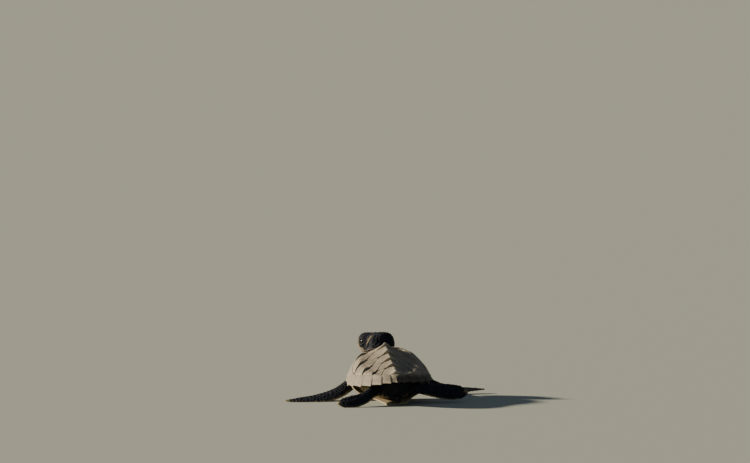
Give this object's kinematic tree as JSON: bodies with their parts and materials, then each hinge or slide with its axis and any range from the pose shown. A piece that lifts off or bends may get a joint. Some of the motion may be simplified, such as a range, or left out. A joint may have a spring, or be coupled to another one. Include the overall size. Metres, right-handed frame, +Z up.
{
  "type": "loggerhead turtle hatchling model",
  "caption": "Life-size loggerhead turtle hatchling crawling, head raised and turned to its left, keeled shell with toothed rim, flippers spread on the ground.",
  "frame": {"origin": "on the floor, under the middle of the whole animal's box", "axes": "+Z up, +Y the way the shell heads, +X the animal's right"},
  "size_m": [0.0886, 0.0634, 0.0263],
  "materials": {
    "carapace": "dull grey-brown horny shell plates with fine growth rings",
    "plastron": "dull cream-yellow belly plates with brown smudges",
    "skin": "dry scaly skin, dark grey-brown with paler edges on the flippers",
    "horn": "smooth horn of the beak and claws",
    "eye": "wet black eye"
  },
  "bodies": {
    "root": {"vertebral_1": "carapace", "vertebral_2": "carapace", "vertebral_3": "carapace", "vertebral_4": "carapace", "vertebral_5": "carapace", "costal_left_1": "carapace", "costal_left_2": "carapace", "costal_left_3": "carapace", "costal_left_4": "carapace", "costal_left_5": "carapace", "costal_right_1": "carapace", "costal_right_2": "carapace", "costal_right_3": "carapace", "costal_right_4": "carapace", "costal_right_5": "carapace", "marginals_left": "carapace", "marginals_right": "carapace", "nuchal": "carapace", "head": "skin", "upper_beak": "horn", "lower_jaw": "skin", "lower_beak": "horn", "eye_left": "eye", "eye_right": "eye", "plastron": "plastron", "trunk": "skin", "neck": "skin", "tail": "skin", "upper_arm_left": "skin", "front_flipper_left": "skin", "claw_front_left": "horn", "upper_arm_right": "skin", "front_flipper_right": "skin", "claw_front_right": "horn", "thigh_left": "skin", "rear_flipper_left": "skin", "claw_rear_left": "horn", "thigh_right": "skin", "rear_flipper_right": "skin", "claw_rear_right": "horn"}
  },
  "joints": []
}
